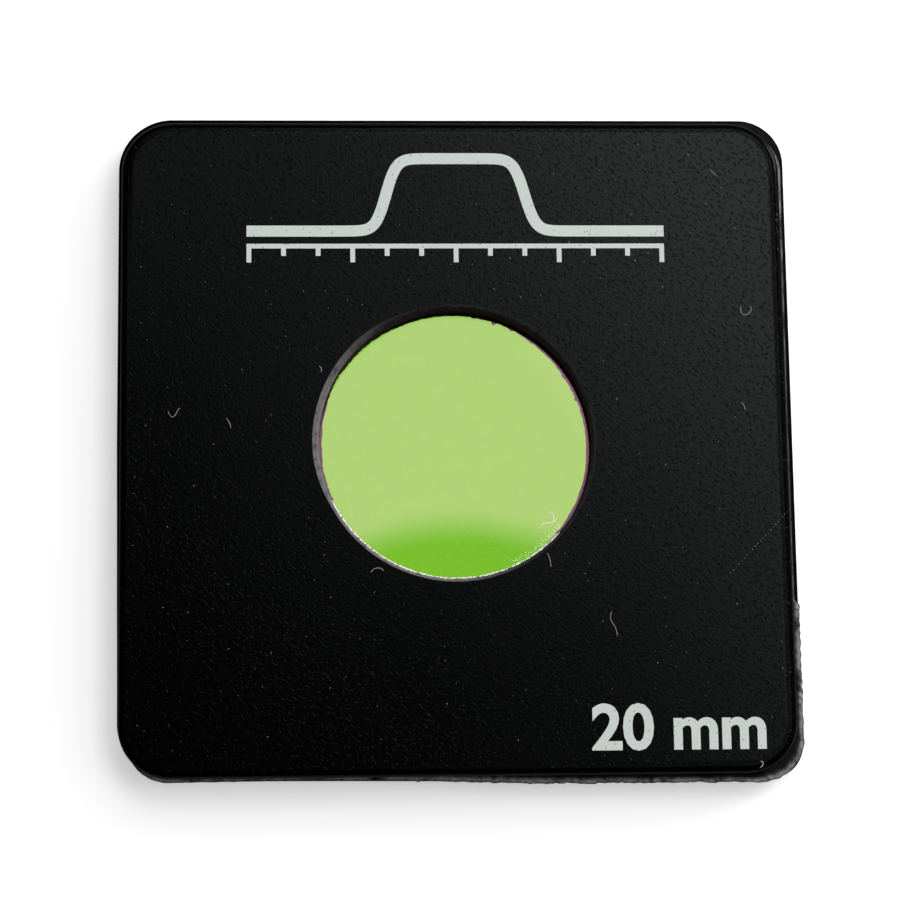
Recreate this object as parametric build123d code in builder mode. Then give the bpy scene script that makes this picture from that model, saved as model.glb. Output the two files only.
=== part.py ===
from build123d import *
import os

# Square filter slide: two black plastic plates with a thin double-sided tape between them.
# A round coated glass lies in a pocket of the back plate and shows through both windows.
# The origin is on the front window's axis, in the plane of the back face.
# +Z points out of the printed face and +Y to the top of the print. All sizes are in millimetres.

# Back plate, laid a little to the upper right of the front plate when the two were stuck together
back_width = 50.3
back_height = 49.9
back_thickness = 2.0
back_edge_ease = 0.5
back_shift_right = 0.15
back_shift_up = 0.2
aperture_diameter = 19.6
aperture_chamfer = 0.4
pocket_clearance = 0.2

# Its corners were rounded by hand, each a little differently
back_corner_lower_left = 4.3
back_corner_lower_right = 2.4
back_corner_upper_left = 4.0
back_corner_upper_right = 3.4

# Front plate, set in from the back plate's size at the sides and at the ends
front_side_inset = 0.45
front_end_inset = 0.5
front_thickness = 1.5
front_corner_radius = 3.8
front_edge_ease = 0.5
window_diameter = 20.2
window_ease = 0.25

# The plates' edges next to the tape are only lightly broken, which leaves a fine groove round the seam
seam_ease = 0.2

# Double-sided tape, laid a little to the lower right, where its rim stands out of the seam
tape_inset = 0.1
tape_thickness = 0.25
tape_corner_radius = 3.2
tape_shift_right = 0.4
tape_shift_up = -0.3
tape_setback = 0.3

# Filter glass
glass_diameter = 25.0
glass_thickness = 1.1
glass_chamfer = 0.15

# Outlines of the front plate and of the tape
front_width = back_width - 2 * front_side_inset
front_height = back_height - 2 * front_end_inset
tape_width = back_width - 2 * tape_inset
tape_height = back_height - 2 * tape_inset

# Heights of the layers over the back face
tape_z = back_thickness
front_z = tape_z + tape_thickness
face_z = front_z + front_thickness
glass_z = front_z - glass_thickness

# The pocket is as deep as the glass less the tape, so the glass is held between both plates
pocket_diameter = glass_diameter + 2 * pocket_clearance
pocket_depth = back_thickness - glass_z

os.makedirs("parts", exist_ok=True)


with BuildPart() as front_plate:
    with BuildSketch(Plane.XY.offset(front_z)):
        RectangleRounded(front_width, front_height, front_corner_radius)
    extrude(amount=front_thickness)
    with Locations((0, 0, face_z)):
        Hole(window_diameter / 2, depth=front_thickness)
    printed_face = front_plate.faces().sort_by(Axis.Z)[-1]
    fillet(printed_face.outer_wire().edges(), front_edge_ease)
    printed_face = front_plate.faces().sort_by(Axis.Z)[-1]
    fillet(printed_face.inner_wires().edges(), window_ease)
    seam_face = front_plate.faces().sort_by(Axis.Z)[0]
    fillet(seam_face.outer_wire().edges(), seam_ease)
front_plate.part.label = "front_plate"
export_step(front_plate.part, "parts/front_plate.step")


# Each corner is the vertex nearest to a point far out on its own diagonal.
# The outline is shifted, but the pocket and the aperture are bored in line with the front window.
corner_radii = {
    (-1, -1): back_corner_lower_left,
    (1, -1): back_corner_lower_right,
    (-1, 1): back_corner_upper_left,
    (1, 1): back_corner_upper_right,
}
with BuildPart() as back_plate:
    with BuildSketch(Plane.XY) as back_outline:
        with Locations((back_shift_right, back_shift_up)):
            Rectangle(back_width, back_height)
        for (right, up), corner_radius in corner_radii.items():
            far_point = (right * back_width, up * back_height)
            fillet(back_outline.vertices().sort_by_distance(far_point)[0], corner_radius)
    extrude(amount=back_thickness)
    with Locations((0, 0, back_thickness)):
        CounterBoreHole(aperture_diameter / 2, pocket_diameter / 2, pocket_depth, depth=back_thickness)
    back_face = back_plate.faces().sort_by(Axis.Z)[0]
    fillet(back_face.outer_wire().edges(), back_edge_ease)
    back_face = back_plate.faces().sort_by(Axis.Z)[0]
    chamfer(back_face.inner_wires().edges(), aperture_chamfer)
    seam_face = back_plate.faces().sort_by(Axis.Z)[-1]
    fillet(seam_face.outer_wire().edges(), seam_ease)
back_plate.part.label = "back_plate"
export_step(back_plate.part, "parts/back_plate.step")


# The tape's hole stays clear of the pocket's mouth, so that no glue reaches the glass
with BuildPart() as bond_tape:
    with BuildSketch(Plane.XY.offset(tape_z)):
        with Locations((tape_shift_right, tape_shift_up)):
            RectangleRounded(tape_width, tape_height, tape_corner_radius)
        Circle(pocket_diameter / 2 + tape_setback, mode=Mode.SUBTRACT)
    extrude(amount=tape_thickness)
bond_tape.part.label = "bond_tape"
export_step(bond_tape.part, "parts/bond_tape.step")


# A ground disc with a small safety chamfer on both rims, turned about the pocket's axis
glass_radius = glass_diameter / 2
glass_section = Plane(origin=(0, 0, glass_z), x_dir=(1, 0, 0), z_dir=(0, -1, 0))
with BuildPart() as filter_glass:
    with BuildSketch(glass_section):
        with BuildLine():
            Polyline(
                (0, 0),
                (glass_radius - glass_chamfer, 0),
                (glass_radius, glass_chamfer),
                (glass_radius, glass_thickness - glass_chamfer),
                (glass_radius - glass_chamfer, glass_thickness),
                (0, glass_thickness),
                close=True,
            )
        make_face()
    revolve(axis=Axis.Z)
filter_glass.part.label = "filter_glass"
export_step(filter_glass.part, "parts/filter_glass.step")
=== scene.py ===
import bmesh
import bpy
import numpy as np
from mathutils import Matrix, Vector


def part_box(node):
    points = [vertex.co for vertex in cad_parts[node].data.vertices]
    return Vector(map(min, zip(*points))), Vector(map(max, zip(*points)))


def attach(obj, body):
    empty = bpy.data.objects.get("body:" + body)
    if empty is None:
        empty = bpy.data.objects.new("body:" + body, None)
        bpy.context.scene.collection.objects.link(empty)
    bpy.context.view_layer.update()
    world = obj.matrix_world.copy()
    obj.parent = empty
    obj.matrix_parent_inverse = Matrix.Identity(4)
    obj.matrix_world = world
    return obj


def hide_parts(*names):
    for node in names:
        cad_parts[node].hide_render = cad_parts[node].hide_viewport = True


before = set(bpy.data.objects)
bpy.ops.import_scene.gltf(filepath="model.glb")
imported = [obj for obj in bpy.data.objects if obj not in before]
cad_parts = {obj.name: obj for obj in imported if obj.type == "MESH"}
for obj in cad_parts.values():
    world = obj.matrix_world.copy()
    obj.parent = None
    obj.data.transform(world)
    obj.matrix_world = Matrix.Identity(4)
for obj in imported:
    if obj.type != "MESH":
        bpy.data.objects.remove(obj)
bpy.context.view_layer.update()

MM = 0.001
face_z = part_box("front_plate")[1].z
face_centre = np.array((0.0, 0.0, face_z))


# Camera. The slide was photographed from nearly straight above with a phone, held a little below
# and to the left of its middle. The lens is given as the focal length in pixels of a 900 pixel frame.
picture_px = 900
focal_px = 2800
lean_left = np.radians(3.0)
lean_down = np.radians(10.3)
roll = np.radians(-0.8)
camera_distance = 206.3 * MM
middle_px = np.array((456.0, 441.9))

away = np.array((-np.sin(lean_left), -np.sin(lean_down), 0.0))
away[2] = np.sqrt(1 - away @ away)
level_right = np.cross(-away, (0, 1, 0))
level_right /= np.linalg.norm(level_right)
level_up = np.cross(level_right, -away)
camera_right = np.cos(roll) * level_right + np.sin(roll) * level_up
camera_up = np.cos(roll) * level_up - np.sin(roll) * level_right
camera_at = face_centre + camera_distance * away

camera_data = bpy.data.cameras.new("camera")
camera_data.sensor_width = 36
camera_data.lens = 36 * focal_px / picture_px
camera_data.shift_x = (picture_px / 2 - middle_px[0]) / picture_px
camera_data.shift_y = (middle_px[1] - picture_px / 2) / picture_px
camera_data.clip_start = 0.01
camera = bpy.data.objects.new("camera", camera_data)
bpy.context.scene.collection.objects.link(camera)
camera_pose = np.column_stack((camera_right, camera_up, away, camera_at))
camera.matrix_world = Matrix(camera_pose.tolist()).to_4x4()
bpy.context.scene.camera = camera


def on_face(px, py, lift=0.0):
    """Points of the printed face that the photograph shows at the pixels (px, py): the view ray through
    each pixel, followed until it meets the plane lift above the face."""
    side = (np.asarray(px, float) - middle_px[0]) / focal_px
    rise = (middle_px[1] - np.asarray(py, float)) / focal_px
    ray = -away + side[..., None] * camera_right + rise[..., None] * camera_up
    reach = (face_z + lift - camera_at[2]) / ray[..., 2]
    return camera_at + reach[..., None] * ray


# Floor and light. A plain white table in a bright room. Soft light comes from low down all round, and more
# from the upper right. The glass and the face mirror a pale ceiling, which ends where the phone was held,
# and a lamp far to the right puts a thin glint on the upper right corner.
class Wire:
    """One output of a shader node. Arithmetic on it adds Math nodes to the material."""

    def __init__(self, finish, socket):
        self.finish = finish
        self.socket = socket

    def math(self, operation, *values):
        return self.finish.node("ShaderNodeMath", {"operation": operation}, *values)

    def least(self, other):
        return self.math("MINIMUM", self, other)

    def most(self, other):
        return self.math("MAXIMUM", self, other)

    def root(self):
        return self.math("SQRT", self)

    def size(self):
        return self.math("ABSOLUTE", self)

    def __add__(self, other):
        return self.math("ADD", self, other)

    __radd__ = __add__

    def __mul__(self, other):
        return self.math("MULTIPLY", self, other)

    __rmul__ = __mul__

    def __sub__(self, other):
        return self.math("SUBTRACT", self, other)

    def __rsub__(self, other):
        return self.math("SUBTRACT", other, self)

    def ramp(self, low, high):
        """0 below low and 1 above high, with a smooth step between."""
        settings = {"interpolation_type": "SMOOTHSTEP"}
        return self.finish.node("ShaderNodeMapRange", settings, self, low, high, 0.0, 1.0)


class Finish:
    """The nodes of a material, or of the world, with one shader."""

    def __init__(self, name, shader="ShaderNodeBsdfPrincipled", world=False, **constants):
        self.block = (bpy.data.worlds if world else bpy.data.materials).new(name)
        self.block.use_nodes = True
        self.tree = self.block.node_tree
        self.tree.nodes.clear()
        self.output = self.tree.nodes.new("ShaderNodeOutputWorld" if world else "ShaderNodeOutputMaterial")
        self.shader = self.tree.nodes.new(shader)
        self.tree.links.new(self.shader.outputs[0], self.output.inputs["Surface"])
        for socket, value in constants.items():
            self.feed(socket.replace("_", " "), value)

    def put(self, socket, value):
        if isinstance(value, Wire):
            self.tree.links.new(value.socket, socket)
        elif value is not None:
            socket.default_value = value

    def feed(self, socket, value):
        self.put(self.shader.inputs[socket], value)

    def node(self, kind, settings, *values, out=0, **named):
        """Any node: first its settings, then the values or links of its sockets, in order or by name."""
        made = self.tree.nodes.new(kind)
        for key, value in settings.items():
            setattr(made, key, value)
        for socket, value in zip(made.inputs, values):
            self.put(socket, value)
        for key, value in named.items():
            self.put(made.inputs[key], value)
        return Wire(self, made.outputs[out])

    def place(self, turn=0.0, squeeze=1.0):
        """The point on the piece, in metres, turned in the plane of the face, then squeezed along x."""
        point = self.node("ShaderNodeTexCoord", {}, out="Object")
        turned = self.node("ShaderNodeMapping", {}, Vector=point, Rotation=(0, 0, turn))
        return self.node("ShaderNodeMapping", {}, Vector=turned, Scale=(squeeze, 1, 1))

    def axis(self, name, source="Object"):
        point = self.node("ShaderNodeTexCoord", {}, out=source)
        return self.node("ShaderNodeSeparateXYZ", {}, point, out=name)

    def noise(self, size, detail=2.0, rough=0.5, at=None):
        """Soft noise from 0 to 1 whose lumps are about the given size, in metres."""
        return self.node("ShaderNodeTexNoise", {}, Vector=at or self.place(), Scale=0.6 / size,
                         Detail=detail, Roughness=rough)

    def cells(self, size, at=None):
        """Distance to the nearest of scattered points about the given size apart, as a share of it."""
        point = at or self.place()
        return self.node("ShaderNodeTexVoronoi", {}, Vector=point, Scale=1 / size, out="Distance")

    def blend(self, share, first, second):
        """A colour that goes from first to second as share goes from 0 to 1."""
        mix = self.tree.nodes.new("ShaderNodeMix")
        mix.data_type = "RGBA"
        self.put(mix.inputs["Factor"], share)
        for socket, colour in (("A", first), ("B", second)):
            target = [s for s in mix.inputs if s.name == socket and s.type == "RGBA"][0]
            self.put(target, colour if isinstance(colour, Wire) else (*colour, 1.0))
        return Wire(self, [s for s in mix.outputs if s.type == "RGBA"][0])

    def past_rim(self, half_x, half_y, corner):
        """Distance from the rim of a rounded rectangle round the origin, negative inside it: past the
        corners' middles it is the distance to the nearer corner's circle, elsewhere to the nearer side."""
        past_x = self.axis("X").size() - (half_x - corner)
        past_y = self.axis("Y").size() - (half_y - corner)
        out_x, out_y = past_x.most(0.0), past_y.most(0.0)
        return (out_x * out_x + out_y * out_y).root() + past_x.most(past_y).least(0.0) - corner

    def relief(self, height, depth):
        """Bumps of the given depth, in metres, from a height between 0 and 1."""
        self.feed("Normal", self.node("ShaderNodeBump", {}, Strength=1.0, Distance=depth, Height=height))


def wear(piece, finish):
    piece.data.materials.clear()
    piece.data.materials.append(finish.block)


def piece_from_grid(name, grid, close_u=True, close_v=True, caps=False):
    """A mesh from a grid of points, of shape (rows, columns, 3). Each cell is one face, and each
    direction that is closed joins its last line of points to its first. Caps close the two end rows."""
    rows, columns = grid.shape[:2]
    number = np.arange(rows * columns).reshape(rows, columns)
    across = np.vstack((number, number[:1])) if close_u else number
    across = np.column_stack((across, across[:, :1])) if close_v else across
    quads = np.stack((across[:-1, :-1], across[:-1, 1:], across[1:, 1:], across[1:, :-1]), axis=-1)
    faces = quads.reshape(-1, 4).tolist()
    if caps:
        faces += [number[0, ::-1].tolist(), number[-1].tolist()]
    mesh = bpy.data.meshes.new(name)
    mesh.from_pydata(grid.reshape(-1, 3).tolist(), [], faces)
    mesh.update()
    mesh.shade_smooth()
    mesh.set_sharp_from_angle(angle=np.radians(30))
    piece = bpy.data.objects.new(name, mesh)
    bpy.context.scene.collection.objects.link(piece)
    return piece


def flat_panel(name, x_range, y_range, z, finish):
    """A level rectangle that belongs to the room. It faces down where it stands over the slide."""
    x, y = np.meshgrid(x_range, y_range, indexing="ij")
    grid = np.stack((x, y, np.full((2, 2), z)), axis=-1)
    panel = piece_from_grid(name, grid if z > 0 else grid[::-1], close_u=False, close_v=False)
    wear(panel, finish)


floor_half = 1.5
table_white = (0.88, 0.88, 0.88)
table_in_mirrors = (0.22, 0.22, 0.22)
table_glow = 0.42
table_glow_through_glass = 0.9
table_paint = Finish("white_table", Roughness=0.9)
table_paint.feed("Emission Color", (1.0, 1.0, 1.0, 1.0))
seen_direct, seen_through, seen_mirrored = [
    table_paint.node("ShaderNodeLightPath", {}, out=kind)
    for kind in ("Is Camera Ray", "Is Transmission Ray", "Is Glossy Ray")]
table_paint.feed("Base Color", table_paint.blend(seen_mirrored, table_white, table_in_mirrors))
table_paint.feed("Emission Strength", seen_direct * table_glow + seen_through * table_glow_through_glass)
flat_panel("table", (-floor_half, floor_half), (-floor_half, floor_half), -0.02 * MM, table_paint)

ceiling_height = 0.6
ceiling_near = 0.078
ceiling_fade = 0.013
bow_middle = 0.032
bow_per_metre = 7.2
bow_limit = 0.012
ceiling_white = Finish("ceiling_white", shader="ShaderNodeEmission", Color=(1.0, 1.0, 1.0, 1.0))
ceiling_x, ceiling_y = ceiling_white.axis("X"), ceiling_white.axis("Y")
aside = ceiling_x - bow_middle
bowed_y = ceiling_y + (aside * aside * bow_per_metre).least(bow_limit)
short_of_edge = 1 - bowed_y.ramp(ceiling_near, ceiling_near + ceiling_fade)
before_edge = short_of_edge * (1 - ceiling_x.ramp(0.08, 0.14))
left_of_it = (1 - ceiling_x.ramp(-0.03, -0.015)) * (1 - ceiling_y.ramp(0.14, 0.18))
far_corner = (1.5 * ceiling_x + ceiling_y).ramp(0.20, 0.42)
in_mirrors = ceiling_white.node("ShaderNodeLightPath", {}, out="Is Glossy Ray")
near_enough = (1 - ceiling_y.ramp(0.28, 0.38)) * (1 - ceiling_x.ramp(0.16, 0.26))
within = 1 - in_mirrors * (1 - near_enough)
ceiling_white.feed("Strength", (1 - before_edge) * (1 - left_of_it) * within * (0.8 + 3.2 * far_corner))
flat_panel("ceiling", (-0.12, 0.36), (-0.15, 0.42), ceiling_height, ceiling_white)

lamp_light = Finish("lamp_light", shader="ShaderNodeEmission", Color=(1.0, 1.0, 1.0, 1.0))
lamp_light.feed("Strength", 60.0)
flat_panel("far_lamp", (0.62, 0.72), (0.26, 0.62), 0.3, lamp_light)

room = Finish("room", shader="ShaderNodeBackground", world=True, Color=(1.0, 1.0, 1.0, 1.0))
way_x, way_y, way_z = [room.axis(name, source="Generated") for name in "XYZ"]
bright_below = np.radians(40)
dark_above = np.radians(58)
low_down = 1 - way_z.ramp(np.sin(bright_below), np.sin(dark_above))
from_upper_right = (0.7 * way_x + 0.7 * way_y).ramp(0.2, 0.9)
seen = room.node("ShaderNodeLightPath", {}, out="Is Camera Ray")
mirrored = room.node("ShaderNodeLightPath", {}, out="Is Glossy Ray")
light_on_things = (1 - mirrored) * (0.45 + 1.6 * from_upper_right)
light_in_mirrors = mirrored * 0.06 * from_upper_right
room.feed("Strength", seen + (1 - seen) * (low_down * (light_on_things + light_in_mirrors)))
bpy.context.scene.world = room.block
bpy.context.scene.view_settings.view_transform = "Standard"


# Front plate. A square of black plastic sheet with rounded corners and softly eased edges. Its face has
# the fine pitted grain of the sheet, and it is stuck on the back plate by the tape.
rim_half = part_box("front_plate")[1].x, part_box("front_plate")[1].y
rim_corner = 3.8 * MM
grain_depth = 0.017 * MM


def black_sheet(name, face_level, rim_radius, shine):
    """Black plastic with the sheet's fine slanting pits, faint smears of handling and specks of dust. The
    face rolls off towards its top and right rims. Round the window its cut edge is rough and a little paler,
    and its rim dips where it has wear at the left. Most of its paleness is painted light: it is painted much
    paler at the lower left, where light from the upper right falls on it, and the pale band is widened at
    the left. Deeper down, a painted maroon tint on the wall stands for the pinkish light of the coated
    glass."""
    sheet = Finish(name)
    slanted = sheet.place(turn=np.radians(50), squeeze=0.72)
    out_x, out_y = sheet.axis("X"), sheet.axis("Y")
    along_diagonal = out_x + out_y
    crisp = 0.3 + 0.7 * along_diagonal.ramp(-34 * MM, -18 * MM) - 0.4 * along_diagonal.ramp(0, 26 * MM)
    pits = sheet.noise(0.14 * MM, detail=1.0, at=slanted).ramp(0.58, 0.70)
    lumps = sheet.noise(0.10 * MM, detail=1.0)
    rim_end = (rim_radius + 0.04 * MM) ** 2
    # At the left the pale band round the window reaches out over the flat face. This is partly real wear,
    # which also makes the rim dip there, and partly painted light.
    wear_and_painted_light_left = (0.4 * out_y - 0.9 * out_x).ramp(0.55 * rim_radius, 0.95 * rim_radius)
    spread = out_x * out_x + out_y * out_y - wear_and_painted_light_left * (0.44 * MM * rim_radius)
    by_window = 1 - spread.ramp((rim_radius - 0.02 * MM) ** 2, rim_end)
    deep = 1 - sheet.axis("Z").ramp(face_level - 0.3 * MM, face_level - 0.2 * MM)
    # Painted light: the rim's paleness is weighted far more at the lower left, where light from the upper
    # right falls on it.
    painted_light_lower_left = (-0.85 * out_x - 0.5 * out_y).ramp(-0.15 * rim_radius, 0.75 * rim_radius)
    pale_cut_edge_and_painted_light = by_window * (1 - deep) * (0.12 + 0.88 * painted_light_lower_left) * sheet.noise(0.35 * MM).ramp(0.05, 0.55)
    dip = wear_and_painted_light_left * (1 - spread.ramp((rim_radius - 0.2 * MM) ** 2, rim_end))
    top_or_right = along_diagonal.ramp(-15 * MM, 0)
    rolled = sheet.past_rim(*rim_half, rim_corner).ramp(-0.95 * MM, -0.35 * MM) * top_or_right
    sheet.relief(lumps * 0.4 - pits * crisp - dip * 6.5 - rolled * 2.5, grain_depth)
    side = 1 - sheet.axis("Z").ramp(face_level - 0.55 * MM, face_level - 0.3 * MM)
    smear = sheet.noise(9 * MM, detail=3.0, rough=0.6)
    sheet.feed("Roughness", 0.16 + smear * 0.05 + by_window * 0.5 + side * (1 - by_window) * 0.25)
    dust = 1 - sheet.cells(1.3 * MM).ramp(0.035, 0.06)
    scarce = sheet.noise(2.1 * MM).ramp(0.60, 0.66)
    outside = sheet.blend(side, (0.0004, 0.0004, 0.0004), (0.007, 0.006, 0.005))
    # Painted reflected light: deeper down, the wall is tinted maroon for the pinkish light of the coated
    # glass, not for any colour of the plastic.
    wall = sheet.blend(deep * by_window, outside, (0.035, 0.006, 0.016))
    plain = sheet.blend(pale_cut_edge_and_painted_light, wall, (0.16, 0.15, 0.15))
    sheet.feed("Base Color", sheet.blend(dust * scarce, plain, (0.12, 0.12, 0.115)))
    sheet.feed("Specular IOR Level", shine)
    sheet.feed("Specular Tint", (0.92, 1.0, 0.97, 1.0))
    return sheet


window_radius = 10.1 * MM
window_ease = 0.25 * MM
front_sheet = black_sheet("front_black_plastic", face_z, rim_radius=window_radius + window_ease, shine=0.13)
wear(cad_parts["front_plate"], front_sheet)


# Back plate. The same black sheet, laid a little to the upper right of the front plate. Its corners were
# rounded by hand, and its bored hole, a little rough at the rim, holds the glass on a narrow ledge.
glass_low, glass_high = [np.array(corner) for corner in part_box("filter_glass")]
glass_middle = (glass_low + glass_high) / 2
back_low, back_high = [np.array(corner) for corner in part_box("back_plate")]
glass_radius = (glass_high[0] - glass_low[0]) / 2
ring_steps = 2400
aperture_mm = 9.98
aperture_roughness_mm = 0.09
pocket_clearance = 0.2 * MM


def rounded_reach(angle, half_width, half_height, radius):
    """Distance from the middle of a rounded rectangle to its outline in the direction angle: to the nearer
    straight side, or, where that point lies past the side's end, to the far side of the corner's circle."""
    cosine, sine = np.abs(np.cos(angle)), np.abs(np.sin(angle))
    straight = np.minimum(half_width / np.maximum(cosine, 1e-9), half_height / np.maximum(sine, 1e-9))
    in_x, in_y = half_width - radius, half_height - radius
    along = cosine * in_x + sine * in_y
    bend = along + np.sqrt(np.maximum(along**2 - in_x**2 - in_y**2 + radius**2, 0))
    past_end = (straight * cosine > in_x) & (straight * sine > in_y)
    return np.where(past_end, bend, straight)


def ragged(angle, slowest, fastest, seed):
    """Uneven waves round a closed edge, from -1 to 1: sines of whole frequencies with random phases, each
    weaker as it gets faster, added up and scaled to their largest value."""
    dice = np.random.default_rng(seed)
    frequency = np.arange(slowest, fastest)
    phase = dice.uniform(0, 2 * np.pi, frequency.size)
    height = dice.normal(0, 1, frequency.size) / np.sqrt(frequency)
    wave = np.sin(np.outer(angle, frequency) + phase) @ height
    return wave / np.abs(wave).max()


def trimmed_off(angle):
    """How much was sanded off the rim past its plain outline, mostly round the lower left corner."""
    directions = np.radians((-180, -155, -135, -120, -100, -80))
    return np.interp(angle, directions, (0, 0.1, 0.25, 0.25, 0.12, 0)) * MM


def bored_plate():
    """The plate as a ring of cross-sections: up the aperture's wall, out over the ledge and up the pocket's
    wall, over the top, round the eased side and back along the bottom. Rounds are quarter circles. The outer
    points follow a rounded square that has its own radius at each corner, the inner ones a rough circle."""
    angle = np.linspace(-np.pi, np.pi, ring_steps, endpoint=False)
    way = np.stack((np.cos(angle), np.sin(angle)), axis=-1)
    quadrants = [angle < -np.pi / 2, angle < 0, angle < np.pi / 2]
    corner = np.select(quadrants, [4.3, 2.4, 3.4], 4.0) * MM
    half = (back_high - back_low) / 2
    middle = (back_high + back_low)[:2] / 2
    reach = rounded_reach(angle, half[0], half[1], corner) - trimmed_off(angle)
    uneven = np.interp(angle, np.radians((-180, -60, 0, 35, 60, 90, 110, 130, 150, 163, 180)),
                       (-0.10, 0, -0.12, -0.08, 0.05, 0.12, 0.13, 0.19, 0.18, 0, -0.10))
    burrs = sum(depth * np.exp(-((np.degrees(angle) - at) / 0.9) ** 2)
                for at, depth in ((81, 0.10), (72, 0.26), (64, 0.12), (33, 0.12), (22, 0.14)))
    rough = aperture_roughness_mm * ragged(angle, 4, 260, seed=21)
    aperture = (aperture_mm + uneven + rough - burrs) * MM
    pocket = glass_radius + pocket_clearance
    ledge, top = glass_low[2], back_high[2]
    seam, ease, chamfer = 0.2 * MM, 0.5 * MM, 0.4 * MM
    quarter = np.linspace(0, np.pi / 2, 9)
    inner = [(aperture, chamfer), (aperture, ledge), (pocket, ledge), (pocket, top)]
    outer = [(seam * (1 - np.sin(turn)), top - seam * (1 - np.cos(turn))) for turn in quarter]
    outer += [(ease * (1 - np.cos(turn)), ease * (1 - np.sin(turn))) for turn in quarter]
    ring = np.zeros((ring_steps, len(inner) + len(outer) + 1, 3))
    for column, (radius, height) in enumerate(inner + [(aperture + chamfer, 0.0)]):
        place = column if column < len(inner) else -1
        ring[:, place, :2] = glass_middle[:2] + way * np.reshape(radius, (-1, 1))
        ring[:, place, 2] = height
    for column, (inset, height) in enumerate(outer, start=len(inner)):
        ring[:, column, :2] = middle + way * (reach - inset)[:, None]
        ring[:, column, 2] = height
    return piece_from_grid("bored_plate", ring)


back = bored_plate()
back_sheet = black_sheet("back_black_plastic", back_high[2], rim_radius=9.0 * MM, shine=0.05)
wear(back, back_sheet)
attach(back, "root")
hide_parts("back_plate")


# Tape. A thin dark double-sided tape holds the plates together. Its rim was trimmed by hand, and stands
# out of the seam, torn and squeezed, along the lower right.
tape_low, tape_high = [np.array(corner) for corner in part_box("bond_tape")]
tape_middle = (tape_low + tape_high) / 2
tape_half = (tape_high - tape_low) / 2
tape_corner = 3.2 * MM
tape_hole = glass_radius + 0.5 * MM


def torn_tape():
    """The tape as a ring of cross-sections: from the round hole outwards over the top, over a torn lip, and
    back along the bottom. The lip follows the tape's outline where it shows, pulled in by uneven waves, and
    lies hidden between the plates elsewhere."""
    angle = np.linspace(-np.pi, np.pi, ring_steps, endpoint=False)
    shown = np.interp(angle, np.radians((-180, -160, -140, -100, -75, -25.2, -25, 0, 180)),
                      (0.25, 0.35, 0.3, 0.45, 1.0, 1.0, 0.0, 0.0, 0.0))
    tear = 0.5 + 0.5 * ragged(angle, 30, 420, seed=5)
    pulled_in = (1 - shown) * 0.5 + shown * 0.26 * tear
    plain_reach = rounded_reach(angle, tape_half[0], tape_half[1], tape_corner)
    reach = plain_reach - pulled_in * MM - trimmed_off(angle)
    lift = shown * np.clip(ragged(angle, 12, 500, seed=9), 0, 1) * 0.4 * MM
    way = np.stack((np.cos(angle), np.sin(angle)), axis=-1)
    hole = glass_middle[:2] + way * tape_hole
    bottom, top = tape_low[2], tape_high[2]
    middle = (bottom + top) / 2
    section = [(None, bottom), (None, top), (0.70, top), (0.50, top + lift * 0.3), (0.20, top + lift),
               (0.04, top + lift * 0.5), (0.0, middle + lift * 0.2), (0.05, bottom), (0.70, bottom)]
    ring = np.zeros((ring_steps, len(section), 3))
    for column, (inset, height) in enumerate(section):
        at_hole = inset is None
        ring[:, column, :2] = hole if at_hole else tape_middle[:2] + way * (reach - inset * MM)[:, None]
        ring[:, column, 2] = height
    piece = piece_from_grid("torn_tape", ring)
    # Paleness sits only on the crest of the lip. It is partly frayed fibres and partly a painted highlight
    # where the light from the right catches the lip.
    frayed_and_painted_highlight = np.tile([0, 0, 0, 0.06, 1, 0.35, 0.1, 0, 0], ring_steps)
    piece.data.attributes.new("frayed_and_painted_highlight", "FLOAT", "POINT").data.foreach_set("value", frayed_and_painted_highlight)
    return piece


tape = torn_tape()
tape_dark = Finish("tape_dark_grey")
torn = tape_dark.noise(0.9 * MM, detail=4.0, rough=0.75)
frayed_and_highlight_here = tape_dark.node("ShaderNodeAttribute", {"attribute_name": "frayed_and_painted_highlight"}, out="Fac")
# The pale grey on the lip's crest is partly frayed tape and partly a painted highlight.
tape_paleness_and_highlight = torn.ramp(0.30, 0.62) * frayed_and_highlight_here
tape_dark.feed("Base Color", tape_dark.blend(tape_paleness_and_highlight, (0.002, 0.002, 0.002), (0.34, 0.34, 0.33)))
tape_dark.feed("Roughness", 0.5)
tape_dark.feed("Specular IOR Level", 0.15)
tape_dark.relief(torn, 0.08 * MM)
wear(tape, tape_dark)
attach(tape, "root")
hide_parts("bond_tape")


# Filter glass. A disc of green glass, 25 mm across, with an interference coat that mirrors a pinkish
# part of the light. It lies in the back plate's pocket, and the front plate holds it down.
filter_green = Finish("coated_green_glass")
filter_green.feed("Base Color", (0.355, 0.695, 0.046, 1.0))
filter_green.feed("Roughness", 0.0)
filter_green.feed("Transmission Weight", 1.0)
filter_green.feed("IOR", 3.0)
filter_green.feed("Specular Tint", (1.0, 0.42, 0.75, 1.0))
wear(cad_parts["filter_glass"], filter_green)


# Print. A pass band's curve over a ruled line, and the window's width in plain figures, screen printed in
# white ink straight on the black sheet.
ink_thickness = 0.008 * MM
white_ink = Finish("white_ink")
ink_holes = white_ink.cells(0.42 * MM).ramp(0.10, 0.17)
ink_tone = white_ink.noise(3.0 * MM, detail=2.0)
ink_colour = white_ink.blend(ink_tone, (0.56, 0.62, 0.58), (0.66, 0.72, 0.68))
white_ink.feed("Base Color", white_ink.blend(ink_holes, (0.25, 0.27, 0.26), ink_colour))
white_ink.feed("Roughness", 0.55)
white_ink.relief(white_ink.noise(0.12 * MM), 0.006 * MM)


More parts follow.
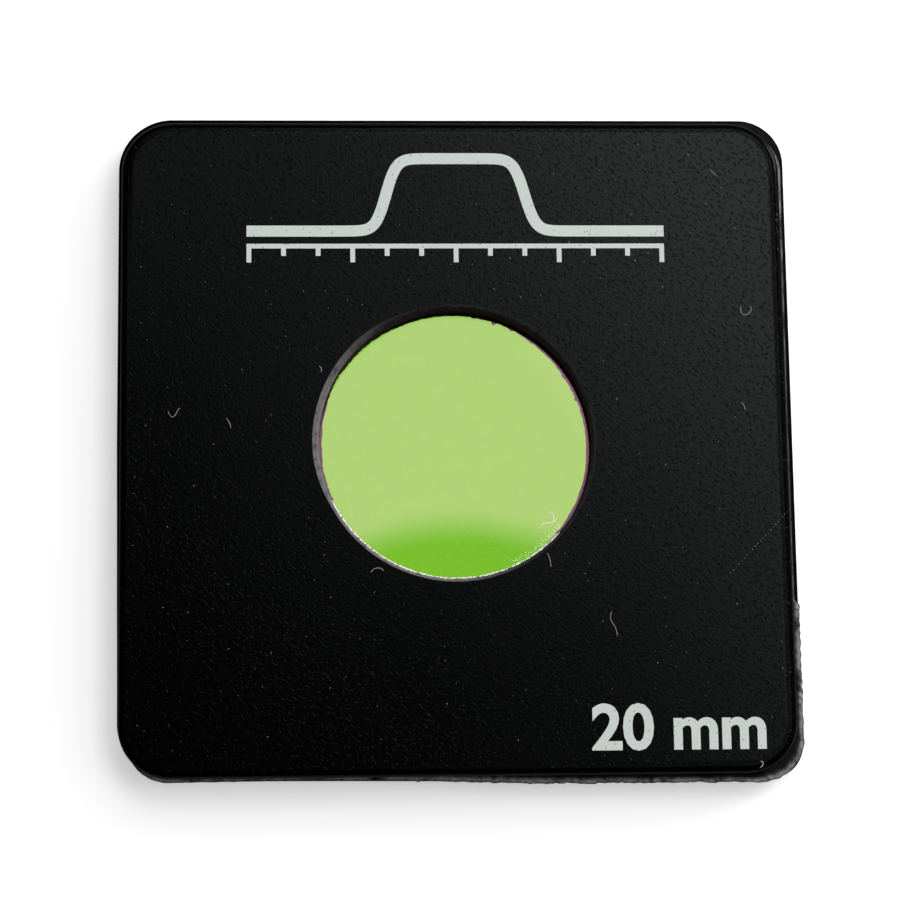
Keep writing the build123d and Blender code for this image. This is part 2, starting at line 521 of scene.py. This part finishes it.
def ink_stroke(name, path, width):
    """A printed line: a flat four-cornered section, half the width to each side of the path and one film of
    ink thick, carried along the path in the plane of the face."""
    along = np.gradient(path, axis=0)
    along /= np.linalg.norm(along, axis=1, keepdims=True)
    side = np.stack((-along[:, 1], along[:, 0]), axis=-1) * width / 2
    stroke = np.zeros((len(path), 4, 3))
    for column, (way, height) in enumerate(((-1, 0), (1, 0), (1, 1), (-1, 1))):
        stroke[:, column, :2] = path + way * side
        stroke[:, column, 2] = face_z + height * ink_thickness
    piece = piece_from_grid(name, stroke, close_u=False, caps=True)
    wear(piece, white_ink)
    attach(piece, "root")


mark_middle = on_face(456.0, 246.0)[:2]
mark_half = 15.6 * MM
rule_width = 0.36 * MM
band_half = 5.2 * MM
band_foot = 1.15 * MM
band_height = 5.6 * MM
edge_softness = 0.8 * MM
ruled_x = np.linspace(-mark_half, mark_half, 2)
ink_stroke("ruled_line", mark_middle + np.stack((ruled_x, 0 * ruled_x), axis=-1), rule_width)

curve_x = np.linspace(-mark_half, mark_half, 400)
into_band = (band_half - np.abs(curve_x)) / edge_softness
curve_y = band_foot + band_height / (1 + np.exp(-2 * into_band))
ink_stroke("pass_band_curve", mark_middle + np.stack((curve_x, curve_y), axis=-1), 0.85 * MM)

tick_count = 13
tick_reach = mark_half - rule_width / 2
for number, tick_x in enumerate(np.linspace(-tick_reach, tick_reach, tick_count)):
    tick_down = (1.25 if number % 3 == 0 else 0.75) * MM
    tick = mark_middle + np.array(((tick_x, -rule_width / 2), (tick_x, -tick_down)))
    ink_stroke(f"tick_{number + 1}", tick, rule_width)

figure_middle = on_face(680.0, 729.0)
figure_height = 3.3 * MM
figures_curve = bpy.data.curves.new("width_figures", "FONT")
figures_curve.body = "20 mm"
figures_curve.align_x = "CENTER"
figures_curve.align_y = "CENTER"
figures_curve.size = figure_height / 0.72
figures_curve.offset = 0.12 * MM
figures_curve.extrude = ink_thickness / 2
figures_curve.resolution_u = 4
figures_text = bpy.data.objects.new("figures_text", figures_curve)
figures_mesh = bpy.data.meshes.new_from_object(figures_text)
bpy.data.objects.remove(figures_text)
figures_mesh.transform(Matrix.Translation((*figure_middle[:2], face_z + ink_thickness / 2)))
welded = bmesh.new()
welded.from_mesh(figures_mesh)
bmesh.ops.remove_doubles(welded, verts=welded.verts, dist=0.002 * MM)
welded.to_mesh(figures_mesh)
welded.free()
figures = bpy.data.objects.new("width_figures", figures_mesh)
bpy.context.scene.collection.objects.link(figures)
wear(figures, white_ink)
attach(figures, "root")


# Lint and dust. Fine fibres from a cloth and crumbs of dust that cling to the black sheet, and bright
# flecks along the window's lower edge. The bright lint and flecks glow with painted light for the glint
# along the rim and on the glass.
lint_white = Finish("lint_white", Base_Color=(0.42, 0.40, 0.38, 1.0), Roughness=0.7)
lint_with_painted_glow = Finish("lint_with_painted_glow", Base_Color=(0.85, 0.78, 0.78, 1.0), Roughness=0.7)
# Painted light: this lint glows, though it is no lamp, to stand for the glint it catches.
lint_with_painted_glow.feed("Emission Color", (0.7, 0.68, 0.6, 1.0))
lint_with_painted_glow.feed("Emission Strength", 0.45)


def lint_fibre(name, px, py, width=0.035 * MM, lift=0.0, finish=lint_white):
    """A fibre: a six-sided tube, thinned at both ends, along a smooth curve through a few points of the
    face. The curve is a polynomial in the points' own order, one for each coordinate."""
    knots = on_face(px, py, lift)
    order = np.linspace(0, 1, len(knots))
    fine = np.linspace(0, 1, 10 * len(knots))
    curves = [np.polyfit(order, knots[:, coordinate], len(knots) - 1) for coordinate in (0, 1)]
    path = np.stack([np.polyval(curve, fine) for curve in curves], axis=-1)
    along = np.gradient(path, axis=0)
    along /= np.linalg.norm(along, axis=1, keepdims=True)
    radius = width / 2 * np.sqrt(np.clip(1 - (2 * fine - 1) ** 8, 0.05, 1))
    turn = np.linspace(0, 2 * np.pi, 6, endpoint=False)
    tube = np.zeros((fine.size, turn.size, 3))
    tube[..., 0] = path[:, :1] - along[:, 1:] * radius[:, None] * np.cos(turn)
    tube[..., 1] = path[:, 1:] + along[:, :1] * radius[:, None] * np.cos(turn)
    tube[..., 2] = face_z + lift + width / 2 + radius[:, None] * np.sin(turn)
    piece = piece_from_grid(name, tube, close_u=False, caps=True)
    wear(piece, finish)
    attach(piece, "root")


lint_fibre("lint_under_window", (371, 374, 379, 384), (572.5, 569, 568, 571))
lint_fibre("lint_left", (168, 173, 177, 180), (411, 417, 412, 408))
lint_fibre("lint_by_window", (226, 229, 231), (418, 422, 428))
lint_fibre("lint_long", (612, 611, 615, 617), (611, 620, 627, 637))
lint_fibre("lint_curl", (742, 741, 745, 750, 750), (306, 312, 315, 312, 306))
lint_fibre("lint_right", (741, 744, 745), (402, 406, 410))
lint_fibre("lint_top", (710, 713, 717), (169.5, 172.5, 176.5))
lint_fibre("lint_comma", (760, 763, 762, 760), (761, 763, 766, 767.5), width=0.06 * MM)
lint_fibre("lint_rim_left", (319, 321.5, 320.5), (366, 369, 372))
lint_fibre("lint_below_left", (505, 509, 512), (557, 559, 564))
lint_fibre("lint_low_right", (547, 549.5, 551), (553, 558, 567))
on_glass = {"lift": glass_high[2] - face_z, "finish": lint_with_painted_glow}
lint_fibre("lint_on_glass", (541, 547, 552, 557), (526, 523, 523, 518), width=0.07 * MM, **on_glass)
lint_fibre("lint_hook_on_glass", (548, 552, 554, 550), (514, 513, 519, 523), width=0.05 * MM, **on_glass)


def crumbs(name, where, size, seed, finish=lint_white):
    """Crumbs of dust: each is a pebble of two six-sided pyramids, base to base, with uneven reach and
    about size across, that stands on its lower tip at one of the given points."""
    dice = np.random.default_rng(seed)
    turn = np.linspace(0, 2 * np.pi, 6, endpoint=False)
    count = len(where)
    reach = size * dice.uniform(0.25, 0.75, (count, turn.size)) * dice.uniform(0.5, 1.0, (count, 1))
    rim = np.zeros((count, turn.size, 3))
    rim[..., 0] = where[:, :1] + reach * np.cos(turn)
    rim[..., 1] = where[:, 1:2] + reach * np.sin(turn)
    rim[..., 2] = where[:, 2:3] + reach.mean(axis=1, keepdims=True) * 0.4
    high = np.column_stack((where[:, :2], where[:, 2] + reach.mean(axis=1) * 0.8))
    points = np.concatenate((rim, where[:, None], high[:, None]), axis=1)
    first = np.arange(turn.size)
    after = np.roll(first, -1)
    down = np.column_stack((after, first, np.full(turn.size, turn.size)))
    up = np.column_stack((first, after, np.full(turn.size, turn.size + 1)))
    faces = np.concatenate((down, up)) + (turn.size + 2) * np.arange(count)[:, None, None]
    mesh = bpy.data.meshes.new(name)
    mesh.from_pydata(points.reshape(-1, 3).tolist(), [], faces.reshape(-1, 3).tolist())
    mesh.update()
    piece = bpy.data.objects.new(name, mesh)
    bpy.context.scene.collection.objects.link(piece)
    wear(piece, finish)
    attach(piece, "root")


def scattered(count, seed):
    """Random points over the plate's face, none of them over the window."""
    dice = np.random.default_rng(seed)
    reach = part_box("front_plate")[1].x - 1.0 * MM
    spots = dice.uniform(-reach, reach, (count * 2, 2))
    clear = spots[np.hypot(*spots.T) > 11 * MM][:count]
    return np.column_stack((clear, np.full(len(clear), face_z)))


crumbs("dust_crumbs", scattered(260, seed=3), 0.06 * MM, seed=4)


def along_rim(first_deg, last_deg, count, radius, level, spread, seed):
    """Random points close to a circle about the window's axis, between two angles, all at one level."""
    dice = np.random.default_rng(seed)
    angle = np.radians(dice.uniform(first_deg, last_deg, count))
    out = radius + dice.normal(0, spread, count)
    return np.column_stack((out * np.cos(angle), out * np.sin(angle), np.full(count, level)))


rim_level = face_z - 0.5 * window_ease
# The rim flecks lie only along the lower rim. They stand partly for real lint and burrs and partly for a
# painted glint, and they glow.
rim_flecks_and_painted_glint = along_rim(205, 318, 520, window_radius, rim_level, 0.02 * MM, seed=11)
crumbs("rim_flecks_and_painted_glint", rim_flecks_and_painted_glint, 0.10 * MM, seed=12, finish=lint_with_painted_glow)
glass_flecks = along_rim(296, 322, 70, 9.72 * MM, glass_high[2], 0.10 * MM, seed=13)
crumbs("glass_flecks", glass_flecks, 0.09 * MM, seed=14, finish=lint_with_painted_glow)

scratch_share = np.linspace(0, 1, 26) ** 1.1
scratch_dots = on_face(789 + (725 - 789) * scratch_share, 510 + (579 - 510) * scratch_share)
crumbs("scratch_dots", scratch_dots, 0.06 * MM, seed=6)
